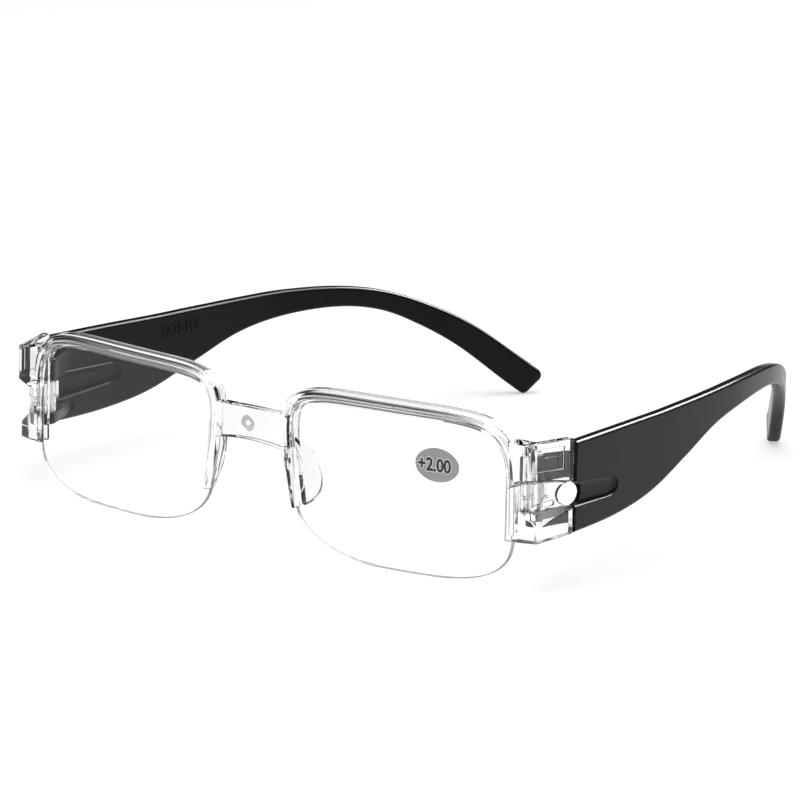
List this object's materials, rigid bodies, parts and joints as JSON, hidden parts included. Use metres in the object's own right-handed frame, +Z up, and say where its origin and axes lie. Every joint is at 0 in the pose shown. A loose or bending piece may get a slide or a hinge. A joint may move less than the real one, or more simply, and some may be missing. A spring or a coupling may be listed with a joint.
{
  "type": "half rim eyeglasses",
  "caption": "Half rim reading glasses with a clear moulded front, clear lenses bare along their lower edge, and black folding temples.",
  "frame": {"origin": "middle of the bounding box in plan, at the level the lens edges and temple tips rest on", "axes": "+Z up as worn, -Y is the way the wearer looks, +X is the wearer's left"},
  "size_m": [0.1422, 0.1532, 0.0366],
  "materials": {
    "clear_frame": "clear polished polycarbonate",
    "lens": "clear polished plastic lens",
    "black_temple": "satin black moulding",
    "screw_steel": "turned",
    "label": "matt film"
  },
  "bodies": {
    "front": {"front_frame": "clear_frame", "left_lens": "lens", "right_lens": "lens", "left_hinge_screw": "screw_steel", "right_hinge_screw": "screw_steel", "strength_label": "label"},
    "left_temple": {"left_temple": "black_temple"},
    "right_temple": {"right_temple": "black_temple"}
  },
  "joints": [
    {"name": "left_fold", "type": "hinge", "parent": "front", "child": "left_temple", "pos_m": [0.0648, -0.06314, 0.02], "axis": [-0.034, -0.017, 0.9993], "range_deg": [0, 80]},
    {"name": "right_fold", "type": "hinge", "parent": "front", "child": "right_temple", "pos_m": [-0.0648, -0.06314, 0.02], "axis": [-0.034, 0.017, -0.9993], "range_deg": [0, 65]}
  ]
}
